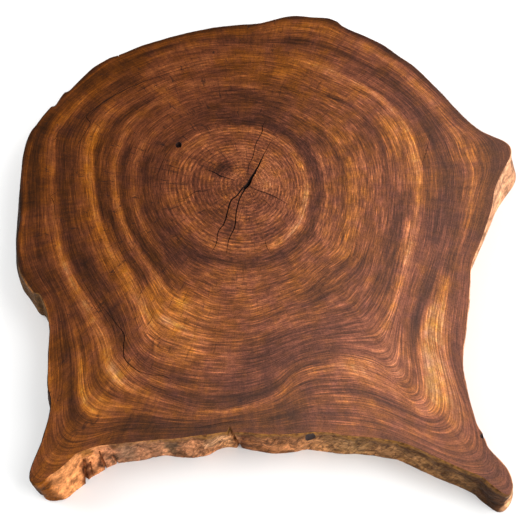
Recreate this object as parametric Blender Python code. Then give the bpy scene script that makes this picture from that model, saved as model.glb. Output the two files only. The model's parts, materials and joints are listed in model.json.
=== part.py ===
"""A thick slab sawn straight across a sapele trunk, just above its buttress roots.

The slab is one piece of wood. Its sawn faces are flat and its edge is the tree's own: two roots reach
forward as feet, a third makes the shoulder on the right, and the trunk spreads a little towards the ground.
Drying checks run out from the pith on both faces, and old branch pockets and clefts break the edge.

Plan points are in millimetres from the pith, with +X to the right and +Y to the back. The frame's origin is
the middle of the slab's box, on its underside.
"""

import math

import bmesh
import bpy
from mathutils import Matrix, Vector

MM = 0.001

THICKNESS = 100.0
PITH = (-38.47, 102.97)
RIM_EASE = 1.6
RIM_EASE_DEPTH = 2.0
FOOT_EASE = 1.2
FOOT_EASE_DEPTH = 1.6
OUTLINE_STEPS = 320
FLUTE_DEPTH = 1.5

# The rim of the upper face, clockwise from the left foot: x, y, and how far the underside stands out there.
RIM = [
    # Left foot, its outer side and the waist above it.
    (-366, -555, -3), (-363, -530, 5), (-348, -485, 8), (-338, -425, 10), (-346, -386, 10),
    (-348, -308, 8), (-349, -283, 6), (-357, -248, 5), (-370, -221, 3), (-383, -214, 2),
    # Left flank, the widest and smoothest part of the trunk.
    (-403, -184, 3), (-412, -162, 8), (-419, -117, 16), (-416, -72, 23), (-418, -40, 22),
    (-421, 21, 18), (-418, 75, 16), (-410, 110, 15), (-398, 130, 14), (-376, 165, 13),
    # Back left, with its shallow scallops.
    (-366, 171, 12), (-351, 197, 12), (-339, 205, 12), (-303, 249, 11), (-270, 274, 11),
    (-253, 281, 10), (-232, 291, 10), (-203, 305, 10), (-161, 320, 10), (-115, 334, 10),
    (-73, 344, 10), (-23, 351, 10), (22, 355, 10), (52, 364, 11), (72, 370, 11),
    # Back right, a low lobe and the long straight run to the shoulder.
    (95, 372, 11), (124, 369, 11), (154, 367, 11), (173, 359, 11), (182, 349, 11),
    (203, 337, 11), (229, 324, 11), (261, 305, 12), (293, 278, 12), (324, 251, 13),
    (367, 199, 14), (391, 167, 15), (415, 137, 17), (436, 117, 19), (457, 105, 21),
    # Right shoulder, the third root, which spreads the most.
    (479, 94, 23), (490, 83, 24), (493, 71, 24), (490, 57, 22), (475, 29, 18),
    (458, -8, 13), (449, -48, 6), (428, -107, 0), (406, -160, 0), (400, -200, 2),
    # Right flank down to the waist of the right foot.
    (396, -234, 4), (388, -285, 5), (380, -331, 5), (379, -362, 5), (383, -399, 5),
    (390, -433, 5), (396, -460, 5), (405, -476, 5), (409, -489, 5), (414, -502, 5),
    # Right foot.
    (430, -522, 8), (443, -540, 12), (449, -557, 16), (449, -573, 10), (438, -585, 4),
    (414, -569, 3), (400, -556, 2), (384, -548, 1), (358, -537, 1), (314, -516, 2),
    # The bay between the feet.
    (270, -496, 1), (226, -487, 1), (195, -484, 1), (167, -482, 2), (145, -477, 4),
    (121, -476, 2), (103, -477, 0), (75, -480, 2), (40, -480, 3), (14, -478, 0),
    (-15, -476, -3), (-40, -477, -4), (-69, -481, 5), (-95, -484, 7), (-119, -488, 2),
    (-146, -489, -2), (-180, -493, 2), (-230, -498, 5), (-257, -503, 13), (-283, -512, 19),
    # Inner side of the left foot, which slopes out to a broad toe.
    (-297, -524, 21), (-310, -536, 19), (-327, -550, 19), (-344, -563, 7), (-357, -566, -7),
]

# Drying checks in the upper face: name, depth, and stations of x, y, width from one end to the other.
CHECKS = [
    ("heart_right", 62.0, [
        (42, 90, 0.6), (28, 61, 2.4), (17, 37, 5.2), (6, 15, 7.5), (0, 0, 8.5), (-8, -13, 4.5)]),
    ("heart_back", 30.0, [(35, 142, 0.6), (27, 118, 1.6), (11, 75, 1.8), (3, 51, 1.4), (0, 27, 0.6)]),
    ("heart_front", 55.0, [(0, 5, 4.0), (-10, -21, 3.8), (-21, -55, 3.0), (-30, -89, 2.4), (-41, -143, 0.8)]),
    ("heart_front_left", 50.0, [(2, 2, 4.0), (-17, -15, 3.8), (-35, -45, 3.4), (-48, -77, 2.4), (-63, -131, 0.8)]),
    ("heart_left", 26.0, [(-22, 8, 0.8), (-41, 14, 2.4), (-62, 22, 2.6), (-78, 32, 0.6)]),
    ("far_left", 14.0, [(-115, 27, 0.6), (-133, 31, 1.6), (-154, 40, 0.8)]),
    ("left_front", 16.0, [(-64, -8, 0.6), (-94, -13, 1.8), (-124, -28, 0.8)]),
    ("right", 24.0, [(5, -4, 1.2), (23, -12, 2.4), (44, -19, 2.4), (72, -37, 0.8)]),
    ("shake_back_left", 18.0, [
        (-85, 263, 0.6), (-134, 247, 1.6), (-195, 224, 2.2), (-251, 194, 2.4), (-293, 160, 2.2),
        (-305, 144, 1.8), (-297, 131, 1.8), (-305, 112, 2.0), (-323, 76, 0.8)]),
    ("shake_front_left", 20.0, [
        (-262, -226, 0.6), (-243, -252, 2.0), (-215, -290, 2.8), (-214, -330, 2.6), (-203, -347, 2.6),
        (-175, -363, 2.2), (-145, -369, 1.6), (-124, -380, 0.6)]),
]
CHECK_LIP = 1.5

# The checks that also opened in the underside, and how wide and deep they are there beside those above.
CHECKS_BELOW = ("heart_right", "heart_back", "heart_front", "heart_front_left")
WIDTH_BELOW = 0.6
DEPTH_BELOW = 0.4

# Pockets where a branch or a grub once was: name, x, y, radius, and height above the underside.
POCKETS = [
    ("branch_pocket", 110, -481, 9.5, 94.0),
    ("eye_of_right_foot", 409, -481, 5.0, 97.0),
    ("grub_hole", -129, 84, 5.2, 98.0),
]
POCKET_SEGMENTS = 14
POCKET_RINGS = 8

# Clefts in the edge: name, half width, depth, degrees that its keel turns left of the back, and its two ends,
# each an x, y and height.
CLEFTS = [
    ("cleft_of_bay", 6.5, 11.0, 0, [(-14, -484, -6.0), (-28, -484, 106.0)]),
    ("cleft_of_left_foot", 6.0, 7.0, 32, [(-273, -534, 10.0), (-279, -517, 84.0)]),
    ("second_cleft_of_left_foot", 5.0, 6.0, 24, [(-242, -514, 8.0), (-249, -505, 76.0)]),
    ("third_cleft_of_left_foot", 3.5, 4.0, 12, [(-227, -504, 30.0), (-231, -502, 80.0)]),
]

SAPELE = {"base": (0.235, 0.095, 0.035, 1.0), "roughness": 0.46}


def closed_spline(points, fraction):
    """A smooth closed line through points, read at a fraction of its way round, with one span a point."""
    at = fraction * len(points)
    index = math.floor(at)
    share = at - index
    before, start, end, after = (points[(index + k) % len(points)] for k in (-1, 0, 1, 2))
    return [
        0.5 * (2 * b + (c - a) * share + (2 * a - 5 * b + 4 * c - d) * share**2
               + (3 * b - a - 3 * c + d) * share**3)
        for a, b, c, d in zip(before, start, end, after)
    ]


def evenly_round(points, steps):
    """The closed spline's values at places an equal length apart, measured in plan."""
    fine = [closed_spline(points, k / (20 * len(points))) for k in range(20 * len(points))]
    travelled = [0.0]
    for here, ahead in zip(fine, fine[1:] + fine[:1]):
        travelled.append(travelled[-1] + math.hypot(ahead[0] - here[0], ahead[1] - here[1]))
    found = []
    k = 0
    for step in range(steps):
        wanted = travelled[-1] * step / steps
        while travelled[k + 1] < wanted:
            k += 1
        share = (wanted - travelled[k]) / (travelled[k + 1] - travelled[k])
        found.append([a + (b - a) * share for a, b in zip(fine[k], fine[(k + 1) % len(fine)])])
    return found


def outward(line, k, reach=2):
    """The outward direction in plan at one step of a line that runs clockwise."""
    before = line[(k - reach) % len(line)]
    after = line[(k + reach) % len(line)]
    along = Vector((after[0] - before[0], after[1] - before[1])).normalized()
    return Vector((-along.y, along.x))


def flutes(way_round, height):
    """The shallow upright waves of the tree's surface, none at the two sawn faces."""
    turn = 2 * math.pi * way_round
    lean = 2.4 * height / THICKNESS
    waves = (
        math.sin(41 * turn + lean)
        + 0.7 * math.sin(67 * turn - 1.3 * lean + 1.1)
        + 0.5 * math.sin(23 * turn + 0.6 * lean + 2.3)
    )
    held = math.sin(math.pi * min(max(height / THICKNESS, 0.0), 1.0)) ** 0.6
    return FLUTE_DEPTH * waves * held


def edge_offset(flare, way_round, height):
    """How far the edge stands out from the rim at a height above the underside."""
    spread = flare * (1 - height / THICKNESS) ** 1.25
    return spread + flutes(way_round, height)


def to_frame(x, y, z):
    """A place measured from the pith, in the slab's own frame and in metres."""
    return Vector((x + PITH[0], y + PITH[1], z)) * MM


def slab_body():
    """The slab before it dried: a loft up the tree's edge, closed by the two sawn faces."""
    line = evenly_round(RIM, OUTLINE_STEPS)
    levels = [
        (0.0, -FOOT_EASE),
        (FOOT_EASE_DEPTH, 0.0),
        (0.25 * THICKNESS, 0.0),
        (0.5 * THICKNESS, 0.0),
        (0.75 * THICKNESS, 0.0),
        (THICKNESS - RIM_EASE_DEPTH, 0.0),
        (THICKNESS, -RIM_EASE),
    ]
    bm = bmesh.new()
    loops = []
    for height, ease in levels:
        loop = []
        for k, (x, y, flare) in enumerate(line):
            out = outward(line, k) * (edge_offset(flare, k / len(line), height) + ease)
            loop.append(bm.verts.new(to_frame(x + out.x, y + out.y, height)))
        loops.append(loop)
    for lower, upper in zip(loops, loops[1:]):
        for k in range(len(lower)):
            n = (k + 1) % len(lower)
            bm.faces.new((lower[k], upper[k], upper[n], lower[n]))
    bm.faces.new(loops[0])
    bm.faces.new(list(reversed(loops[-1])))
    bmesh.ops.recalc_face_normals(bm, faces=bm.faces)
    return mesh_object("sapele_slab", bm)


def mesh_object(name, bm):
    mesh = bpy.data.meshes.new(name)
    bm.to_mesh(mesh)
    bm.free()
    return bpy.data.objects.new(name, mesh)


def check_cutter(name, depth, stations, face_height, into):
    """A blade with a V section along one check, deepest at its middle, cutting up or down from a sawn face."""
    bm = bmesh.new()
    last = len(stations) - 1
    sections = []
    for k, (x, y, width) in enumerate(stations):
        before, after = stations[max(k - 1, 0)], stations[min(k + 1, last)]
        along = Vector((after[0] - before[0], after[1] - before[1])).normalized()
        side = Vector((-along.y, along.x)) * width / 2
        reach = depth * (0.25 + 0.75 * math.sin(math.pi * (k + 0.5) / (last + 1)))
        sections.append([
            bm.verts.new(to_frame(x + side.x, y + side.y, face_height - into * CHECK_LIP)),
            bm.verts.new(to_frame(x - side.x, y - side.y, face_height - into * CHECK_LIP)),
            bm.verts.new(to_frame(x, y, face_height + into * reach)),
        ])
    for here, ahead in zip(sections, sections[1:]):
        for a, b in ((0, 1), (1, 2), (2, 0)):
            bm.faces.new((here[a], here[b], ahead[b], ahead[a]))
    bm.faces.new(sections[0])
    bm.faces.new(list(reversed(sections[-1])))
    bmesh.ops.recalc_face_normals(bm, faces=bm.faces)
    return mesh_object(name, bm)


def pocket_cutter(name, x, y, radius, height):
    bm = bmesh.new()
    bmesh.ops.create_uvsphere(bm, u_segments=POCKET_SEGMENTS, v_segments=POCKET_RINGS, radius=radius * MM)
    bmesh.ops.translate(bm, verts=bm.verts, vec=to_frame(x, y, height))
    return mesh_object(name, bm)


def cleft_cutter(name, half_width, depth, turn, ends):
    """An upright wedge whose keel points into the wood."""
    bm = bmesh.new()
    turned = Matrix.Rotation(math.radians(turn), 2)
    profile = [
        turned @ Vector(corner)
        for corner in (
            (-half_width, -2 * depth), (-half_width, 0), (0, depth), (half_width, 0), (half_width, -2 * depth))
    ]
    lower, upper = (
        [bm.verts.new(to_frame(x + corner.x, y + corner.y, height)) for corner in profile]
        for x, y, height in ends
    )
    for k in range(len(lower)):
        n = (k + 1) % len(lower)
        bm.faces.new((lower[k], lower[n], upper[n], upper[k]))
    bm.faces.new(list(reversed(lower)))
    bm.faces.new(upper)
    bmesh.ops.recalc_face_normals(bm, faces=bm.faces)
    return mesh_object(name, bm)


def cut(body, cutter, cutters):
    cutters.objects.link(cutter)
    cutter.hide_render = True
    cutter.display_type = "WIRE"
    difference = body.modifiers.new(cutter.name, "BOOLEAN")
    difference.operation = "DIFFERENCE"
    difference.object = cutter


def sapele_material():
    material = bpy.data.materials.new("oiled_sapele")
    material.use_nodes = True
    shader = material.node_tree.nodes["Principled BSDF"]
    shader.inputs["Base Color"].default_value = SAPELE["base"]
    shader.inputs["Roughness"].default_value = SAPELE["roughness"]
    shader.inputs["Metallic"].default_value = 0.0
    material.diffuse_color = SAPELE["base"]
    return material


def main():
    for obj in list(bpy.data.objects):
        bpy.data.objects.remove(obj, do_unlink=True)
    slab = bpy.data.collections.new("sapele_slab")
    cutters = bpy.data.collections.new("cutters")
    cutters.hide_render = True
    for collection in (slab, cutters):
        bpy.context.scene.collection.children.link(collection)
    body = slab_body()
    slab.objects.link(body)
    body.data.materials.append(sapele_material())
    for name, depth, stations in CHECKS:
        cut(body, check_cutter(name, depth, stations, THICKNESS, -1), cutters)
        if name in CHECKS_BELOW:
            narrowed = [(x, y, width * WIDTH_BELOW) for x, y, width in stations]
            cut(body, check_cutter(name + "_below", depth * DEPTH_BELOW, narrowed, 0.0, 1), cutters)
    for pocket in POCKETS:
        cut(body, pocket_cutter(*pocket), cutters)
    for cleft in CLEFTS:
        cut(body, cleft_cutter(*cleft), cutters)


main()
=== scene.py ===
"""The oiled sapele slab: its sawn faces, live edge and checks, modelled and finished round the CAD solid.

Plan points are in millimetres from the pith, with +X to the right and +Y to the back. A bearing is in degrees
clockwise from the back. A growth line is named by how far it lies from the pith on average, in millimetres.
"""

import json
import math
from functools import partial

import bmesh
import bpy
import numpy as np
from bpy.props import FloatProperty, IntProperty, PointerProperty, StringProperty
from mathutils import Matrix, Vector, noise

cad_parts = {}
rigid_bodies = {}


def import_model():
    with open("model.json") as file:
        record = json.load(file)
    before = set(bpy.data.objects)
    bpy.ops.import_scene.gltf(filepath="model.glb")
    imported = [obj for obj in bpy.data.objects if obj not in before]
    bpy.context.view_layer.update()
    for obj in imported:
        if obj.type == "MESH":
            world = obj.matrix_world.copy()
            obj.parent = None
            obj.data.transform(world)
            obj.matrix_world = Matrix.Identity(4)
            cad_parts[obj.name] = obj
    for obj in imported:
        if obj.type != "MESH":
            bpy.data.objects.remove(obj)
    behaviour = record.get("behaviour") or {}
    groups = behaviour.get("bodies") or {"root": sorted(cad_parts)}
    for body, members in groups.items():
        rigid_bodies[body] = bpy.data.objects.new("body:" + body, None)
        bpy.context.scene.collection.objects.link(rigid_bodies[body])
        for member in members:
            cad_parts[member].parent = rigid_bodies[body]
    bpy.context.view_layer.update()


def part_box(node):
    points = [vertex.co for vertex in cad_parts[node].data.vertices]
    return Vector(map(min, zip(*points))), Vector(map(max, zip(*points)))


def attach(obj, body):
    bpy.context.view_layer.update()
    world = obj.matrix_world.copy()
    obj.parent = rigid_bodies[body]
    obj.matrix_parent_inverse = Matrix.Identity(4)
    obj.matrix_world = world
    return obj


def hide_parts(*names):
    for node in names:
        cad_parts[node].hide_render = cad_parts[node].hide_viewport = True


bl_info = {
    "name": "Sapele slab",
    "version": (1, 0, 0),
    "blender": (4, 5, 0),
    "location": "View3D > Sidebar > Sapele slab",
    "description": "A thick slab sawn across a sapele trunk, with oiled faces and a live edge",
    "category": "Add Mesh",
}

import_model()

MM = 0.001
NODE = "sapele_slab"
NODE_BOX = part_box(NODE)
THICKNESS = (NODE_BOX[1].z - NODE_BOX[0].z) / MM
PITH = (-38.47, 102.97)

# The rim of the upper face, clockwise from the left foot: x, y, and how far the underside stands out there.
RIM = [
    (-366, -555, -3), (-363, -530, 5), (-348, -485, 8), (-338, -425, 10), (-346, -386, 10),
    (-348, -308, 8), (-349, -283, 6), (-357, -248, 5), (-370, -221, 3), (-383, -214, 2),
    (-403, -184, 3), (-412, -162, 8), (-419, -117, 16), (-416, -72, 23), (-418, -40, 22),
    (-421, 21, 18), (-418, 75, 16), (-410, 110, 15), (-398, 130, 14), (-376, 165, 13),
    (-366, 171, 12), (-351, 197, 12), (-339, 205, 12), (-303, 249, 11), (-270, 274, 11),
    (-253, 281, 10), (-232, 291, 10), (-203, 305, 10), (-161, 320, 10), (-115, 334, 10),
    (-73, 344, 10), (-23, 351, 10), (22, 355, 10), (52, 364, 11), (72, 370, 11),
    (95, 372, 11), (124, 369, 11), (154, 367, 11), (173, 359, 11), (182, 349, 11),
    (203, 337, 11), (229, 324, 11), (261, 305, 12), (293, 278, 12), (324, 251, 13),
    (367, 199, 14), (391, 167, 15), (415, 137, 17), (436, 117, 19), (457, 105, 21),
    (479, 94, 23), (490, 83, 24), (493, 71, 24), (490, 57, 22), (475, 29, 18),
    (458, -8, 13), (449, -48, 6), (428, -107, 0), (406, -160, 0), (400, -200, 2),
    (396, -234, 4), (388, -285, 5), (380, -331, 5), (379, -362, 5), (383, -399, 5),
    (390, -433, 5), (396, -460, 5), (405, -476, 5), (409, -489, 5), (414, -502, 5),
    (430, -522, 8), (443, -540, 12), (449, -557, 16), (449, -573, 10), (438, -585, 4),
    (414, -569, 3), (400, -556, 2), (384, -548, 1), (358, -537, 1), (314, -516, 2),
    (270, -496, 1), (226, -487, 1), (195, -484, 1), (167, -482, 2), (145, -477, 4),
    (121, -476, 2), (103, -477, 0), (75, -480, 2), (40, -480, 3), (14, -478, 0),
    (-15, -476, -3), (-40, -477, -4), (-69, -481, 5), (-95, -484, 7), (-119, -488, 2),
    (-146, -489, -2), (-180, -493, 2), (-230, -498, 5), (-257, -503, 13), (-283, -512, 19),
    (-297, -524, 21), (-310, -536, 19), (-327, -550, 19), (-344, -563, 7), (-357, -566, -7),
]
FLARE_POWER = 1.25
FLUTE_DEPTH = 1.5

# Drying checks in the upper face: depth, and stations of x, y, width from one end to the other.
CHECKS = [
    (62, [(42, 90, 0.5), (30, 64, 1.6), (19, 38, 3.4), (8, 17, 5.4), (0, 0, 7.5), (-7, -11, 3.6)]),
    (26, [
        (0, 25, 0.5), (2, 41, 1.2), (10, 61, 1.4), (15, 86, 1.3), (27, 113, 1.7), (27, 124, 1.2),
        (35, 139, 0.5)]),
    (50, [
        (-3, -6, 3.2), (-8, -14, 2.8), (-15, -30, 2.4), (-21, -58, 2.2), (-23, -86, 2.2), (-33, -110, 1.7),
        (-38, -140, 0.5)]),
    (50, [
        (-2, -1, 3.4), (-9, -6, 3.0), (-20, -22, 2.8), (-31, -33, 2.8), (-37, -58, 2.4), (-42, -78, 2.4),
        (-53, -96, 1.8), (-56, -118, 1.5), (-64, -135, 0.5)]),
    (26, [(-22, 9, 0.6), (-40, 15, 1.5), (-50, 19, 2.4), (-63, 27, 2.2), (-79, 33, 0.5)]),
    (14, [(-120, 31, 0.5), (-138, 38, 1.2), (-152, 43, 0.5)]),
    (16, [(-66, -8, 0.5), (-81, -13, 1.2), (-96, -14, 1.4), (-117, -31, 0.5)]),
    (24, [(5, -4, 1.0), (23, -13, 1.5), (40, -19, 1.9), (58, -29, 1.4), (73, -39, 0.5)]),
    (18, [
        (-85, 263, 0.5), (-134, 247, 0.9), (-195, 224, 1.2), (-251, 194, 1.5), (-293, 160, 1.4),
        (-305, 144, 1.4), (-297, 131, 1.4), (-305, 112, 1.2), (-323, 76, 0.5)]),
    (20, [
        (-265, -232, 0.5), (-246, -255, 0.9), (-230, -276, 1.3), (-216, -295, 1.6), (-216, -317, 1.7),
        (-214, -338, 1.7), (-203, -352, 1.6), (-188, -364, 1.2), (-164, -371, 1.0), (-144, -372, 0.9),
        (-126, -385, 0.5)]),
]
CHECKS_BELOW = (0, 1, 2, 3)
WIDTH_BELOW = 0.6
DEPTH_BELOW = 0.4
CHECK_LIP = 1.5

# Hairline checks: x, y along each. They are drawn as wide as they need to show, HAIRLINE_WIDTH at the middle.
HAIRLINES = [
    [(-144, 76), (-154, 61), (-160, 44), (-167, 23), (-168, 12)],
    [(-344, 127), (-355, 114), (-360, 99), (-368, 94)],
    [(-348, -2), (-353, -16), (-362, -23), (-355, -37), (-352, -64), (-348, -81)],
    [(-251, 283), (-247, 263)],
    [(23, -25), (34, -35), (46, -49)],
    [(32, -104), (34, -123), (43, -139)],
    [(-188, -290), (-173, -295), (-157, -305), (-148, -293)],
    [(-24, -266), (-12, -253)],
    [(-76, -213), (-55, -214), (-43, -208)],
    [(-62, -338), (-35, -332)],
    [(-88, -467), (-63, -462), (-32, -456), (-4, -451)],
    [(342, 109), (334, 73), (321, 35)],
    [(294, 152), (307, 163)],
    [(144, 189), (170, 182), (192, 175)],
    [(389, -156), (409, -158)],
]
HAIRLINE_WIDTH = 1.3
HAIRLINE_DEPTH = 5.0

# Pockets where a branch or a grub once was: x, y, radius, height above the underside, and height by width.
POCKETS = [(111, -484, 12.5, 80.0, 2.0), (404, -481, 4.6, 99.0, 2.4), (-129, 84, 6.2, 98.0, 2.0)]

# Clefts in the edge: half width, depth, degrees that the keel turns left of the back, and its two ends.
CLEFTS = [
    (8.0, 15.0, 0, [(-12, -479, -6.0), (-29, -478, 106.0)]),
    (4.5, 9.0, 28, [(-279, -534, -2.0), (-278, -513, 64.0)]),
    (2.0, 6.0, 28, [(-268, -526, 2.0), (-271, -510, 48.0)]),
    (3.0, 8.0, 20, [(-247, -513, -2.0), (-252, -503, 72.0)]),
    (3.2, 7.0, 14, [(-227, -503, -2.0), (-235, -500, 52.0)]),
    (2.2, 4.5, 210, [(-254, 282, 50.0), (-252, 283, 106.0)]),
]

# Three growth lines of the trunk, each as bearings and distances from the pith, and the rim is the last.
HEART_LINE = [
    (0, 126), (23, 121), (46, 118), (69, 116), (92, 118), (115, 123), (135, 133), (160, 141),
    (185, 146), (210, 150), (232, 153), (271, 161), (296, 161), (313, 153), (330, 143), (346, 132),
]
MIDDLE_LINE = [
    (0, 275), (15, 277), (30, 280), (43, 292), (54, 307), (69, 316), (84, 312), (96, 308), (107, 314),
    (120, 327), (129, 347), (137, 368), (142, 378), (146, 366), (151, 350), (157, 336), (164, 332),
    (171, 340), (178, 350), (186, 356), (194, 362), (200, 367), (205, 370), (210, 364), (215, 345),
    (220, 325), (228, 308), (240, 300), (255, 297), (270, 302), (285, 319), (297, 322), (310, 305),
    (325, 290), (340, 280), (350, 276),
]
OUTER_LINE = [
    (0, 303), (8, 304), (15, 310), (23, 316), (34, 323), (43, 332), (54, 344), (61, 353), (69, 359),
    (77, 362), (84, 365), (92, 362), (100, 359), (110, 362), (117, 365), (124, 372), (131, 389),
    (135, 408), (139, 442), (142, 478), (144, 495), (146, 481), (147, 448), (150, 415), (153, 395),
    (156, 385), (163, 377), (168, 385), (172, 405), (176, 415), (182, 428), (190, 440), (197, 440),
    (203, 438), (208, 434), (212, 424), (214.5, 418), (218, 398), (222, 385), (230, 374), (247, 367),
    (263, 362), (276, 369), (285, 380), (292, 375), (300, 365), (309, 352), (321, 335), (334, 322),
    (346, 313),
]
LEVELS = (0.0, 135.0, 227.5, 320.0, 400.0, 460.0, 520.0)

# The growth lines halfway between those stay rounder than the roots: bearing, half angle, shortfall.
ROUNDER_INSIDE = [(141.5, 9, 26), (205, 8, 12), (290, 10, 6)]
ROUNDER_OUTSIDE = [(81, 4.5, 14)]

# The last growth lines turn more bluntly than the roots do, over these many degrees.
BLUNT_TIP, BLUNT_RIM, BLUNT_OUTER = 1.5, 2.5, 4.0

# The figure: bands of pale and dark heartwood that follow the growth lines. Each has a tone, below 0 for
# umber and above 0 for gold, the bearings of its two ends, its growth line at each, and its half width.
BANDS = [
    # The heart, with its pale last rings.
    (0.4, 20, 115, 36, 38, 20), (0.45, 292, 358, 27, 27, 9), (-0.6, 287, 326, 50, 52, 11),
    (0.85, 40, 160, 124, 126, 6), (0.3, -22, 40, 124, 124, 6), (0.35, 176, 224, 118, 122, 9),
    (0.2, 236, 348, 118, 122, 9), (0.25, -10, 160, 72, 80, 16), (0.15, 230, 330, 98, 96, 9),
    (0.25, 280, 360, 66, 76, 22), (0.45, 96, 126, 120, 120, 6), (-0.25, 200, 300, 70, 78, 14),
    (-0.15, 60, 150, 52, 74, 10),
    # The dark band outside the heart.
    (-0.55, -14, 208, 146, 147, 9.5), (-0.35, 203, 352, 158, 160, 24), (-0.35, 338, 382, 190, 186, 42),
    (-0.3, 10, 62, 172, 176, 18), (-0.25, 224, 296, 178, 176, 10), (-0.3, 156, 184, 162, 160, 8),
    # Back right.
    (0.35, 55, 126, 160, 163, 6), (0.15, 70, 128, 178, 176, 6), (-0.4, 22, 98, 195, 193, 3.5),
    (0.25, 34, 78, 206, 205, 7), (0.3, 76, 132, 206, 220, 10), (-0.2, 2, 36, 208, 210, 12),
    (-0.1, 60, 125, 238, 236, 4), (-0.35, 2, 13, 256, 258, 14), (-0.7, 37, 49, 271, 277, 3.0),
    (-0.35, 58, 97, 268, 274, 9), (-0.4, 94, 130, 294, 292, 13), (-0.6, 90, 104, 313, 313, 8),
    (-0.3, 84, 126, 470, 474, 12), (-0.35, 84, 106, 426, 430, 14), (-0.5, 92, 102, 316, 316, 7),
    (-0.4, 98, 114, 358, 358, 10), (0.3, 58, 84, 298, 297, 9), (0.75, 22, 118, 339, 318, 13),
    (0.15, -5, 36, 322, 328, 24), (0.45, 112, 141, 322, 322, 8), (-0.4, 37, 90, 352, 356, 12),
    (-0.7, 40, 72, 414, 416, 22), (-0.55, 66, 92, 412, 404, 16), (-0.45, -10, 20, 422, 422, 11),
    (-0.5, 14, 40, 426, 426, 9), (0.15, 2, 36, 478, 478, 14), (0.45, 34, 62, 480, 470, 12),
    (-0.5, 64, 84, 392, 392, 12), (0.4, 58, 77, 470, 450, 10), (0.4, 76, 104, 452, 472, 10),
    (-0.6, -16, 32, 512, 514, 7), (-0.4, 36, 82, 508, 504, 9), (-0.5, 94, 110, 370, 380, 12),
    (-0.6, 88, 110, 404, 400, 15), (-0.7, 78, 104, 502, 502, 14), (-0.5, 100, 118, 440, 450, 12),
    (-0.3, 98, 124, 496, 500, 12),
    # The right foot and its pale patch.
    (-0.5, 112, 141, 406, 402, 8), (1.5, 125, 141, 448, 426, 17), (1.0, 117, 128, 452, 447, 9),
    (0.5, 130, 143, 462, 458, 9), (-0.8, 112, 136, 424, 406, 8), (-0.4, 126, 143, 490, 496, 10),
    (0.42, 139, 154, 346, 396, 36), (0.25, 141, 156, 440, 400, 12), (-0.5, 142, 145, 388, 388, 6),
    (0.5, 152, 166, 403, 402, 6), (-0.55, 144, 170, 448, 420, 9), (0.35, 152, 166, 452, 456, 10),
    (-0.35, 141, 156, 520, 498, 16), (0.15, 144, 160, 478, 472, 8), (-0.6, 134, 148, 600, 600, 50),
    # Between the feet.
    (0.1, 122, 176, 170, 168, 12), (-0.3, 146, 170, 246, 248, 10), (-0.3, 136, 176, 102, 104, 7),
    (0.25, 172, 206, 176, 176, 20), (-0.45, 128, 158, 230, 230, 3), (-0.4, 120, 158, 248, 250, 3.5),
    (-0.45, 118, 150, 283, 280, 5), (-0.4, 150, 182, 296, 306, 22), (-0.4, 152, 184, 352, 350, 18),
    (0.3, 276, 292, 273, 272, 6), (-0.65, 158, 206, 386, 384, 9), (-0.3, 182, 206, 350, 350, 14),
    (0.2, 182, 206, 310, 306, 14), (0.75, 179, 191, 410, 414, 6), (0.25, 168, 184, 412, 412, 8),
    (-0.5, 164, 206, 450, 462, 20), (-0.5, 160, 206, 476, 484, 18), (-0.45, 168, 190, 470, 478, 18),
    (-0.5, 165, 206, 506, 506, 12),
    # The left foot and the way up from it.
    (0.6, 192, 222, 262, 276, 30), (0.3, 200, 224, 240, 232, 8), (0.6, 195, 214, 398, 408, 8),
    (0.5, 206, 220, 434, 442, 8), (0.85, 210, 252, 402, 398, 9), (0.6, 210, 222, 446, 445, 3.5),
    (-0.35, 214, 240, 428, 432, 7), (0.3, 300, 318, 113, 113, 7), (0.5, 217, 238, 506, 508, 6),
    (-0.45, 214, 246, 352, 352, 18), (-0.35, 195, 208, 456, 458, 6), (-0.35, 206, 214, 566, 566, 14),
    (-0.6, 174, 200, 388, 394, 14), (-0.35, 194, 216, 346, 344, 10), (0.5, 196, 211, 372, 378, 8),
    (0.3, 210, 238, 284, 286, 8), (-0.35, 212, 246, 458, 470, 14),
    # The left flank and its broad golden band.
    (-0.35, 214, 240, 196, 206, 20), (0.35, 232, 297, 200, 199, 6), (-0.75, 216, 290, 224, 227, 9),
    (0.4, 216, 297, 238, 249, 7), (-0.6, 222, 318, 264, 272, 8), (0.72, 222, 303, 297, 305, 10),
    (-0.6, 256, 274, 286, 289, 8), (-0.3, 296, 308, 308, 308, 8), (-0.4, 248, 292, 283, 286, 4),
    (0.25, 230, 250, 328, 330, 10), (-0.35, 262, 300, 350, 352, 16), (-0.35, 216, 262, 356, 354, 12),
    (-0.5, 222, 292, 372, 378, 10), (0.3, 248, 277, 398, 398, 6), (0.4, 274, 302, 402, 404, 16),
    (0.3, 246, 266, 426, 428, 8), (-0.5, 240, 292, 452, 464, 22), (-0.45, 262, 292, 466, 468, 18),
    (0.5, 250, 282, 504, 504, 8), (-0.35, 222, 252, 480, 486, 20),
    # Back left.
    (0.2, 292, 322, 206, 204, 18), (0.25, 290, 322, 158, 160, 10), (-0.3, 286, 314, 462, 472, 16),
    (-0.2, 303, 320, 232, 232, 4), (0.3, 298, 316, 254, 256, 8), (-0.4, 292, 318, 350, 352, 20),
    (0.4, 320, 346, 343, 343, 8), (-0.2, 336, 362, 215, 220, 16), (0.3, 318, 332, 280, 300, 18),
    (0.4, 334, 368, 260, 236, 5), (0.2, 326, 346, 312, 314, 14), (0.3, 246, 268, 247, 248, 5),
    (0.25, 324, 350, 410, 400, 14), (-0.3, 318, 358, 448, 442, 12), (-0.35, 300, 352, 514, 514, 6),
    # The two bands of tone -1.8 at growth line 520 are painted shade: a dark outline along the back and left
    # rim, where the shaded edge shows past it.
    (-0.45, 300, 334, 440, 444, 20), (-0.4, 262, 360, 504, 512, 12), (-1.8, 238, 360, 520, 520, 11),
    (-1.8, -1, 78, 520, 520, 11), (-0.3, 312, 326, 402, 404, 10), (-0.25, -4, 8, 215, 218, 16),
    (-0.3, 344, 362, 296, 300, 16),
]

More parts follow.
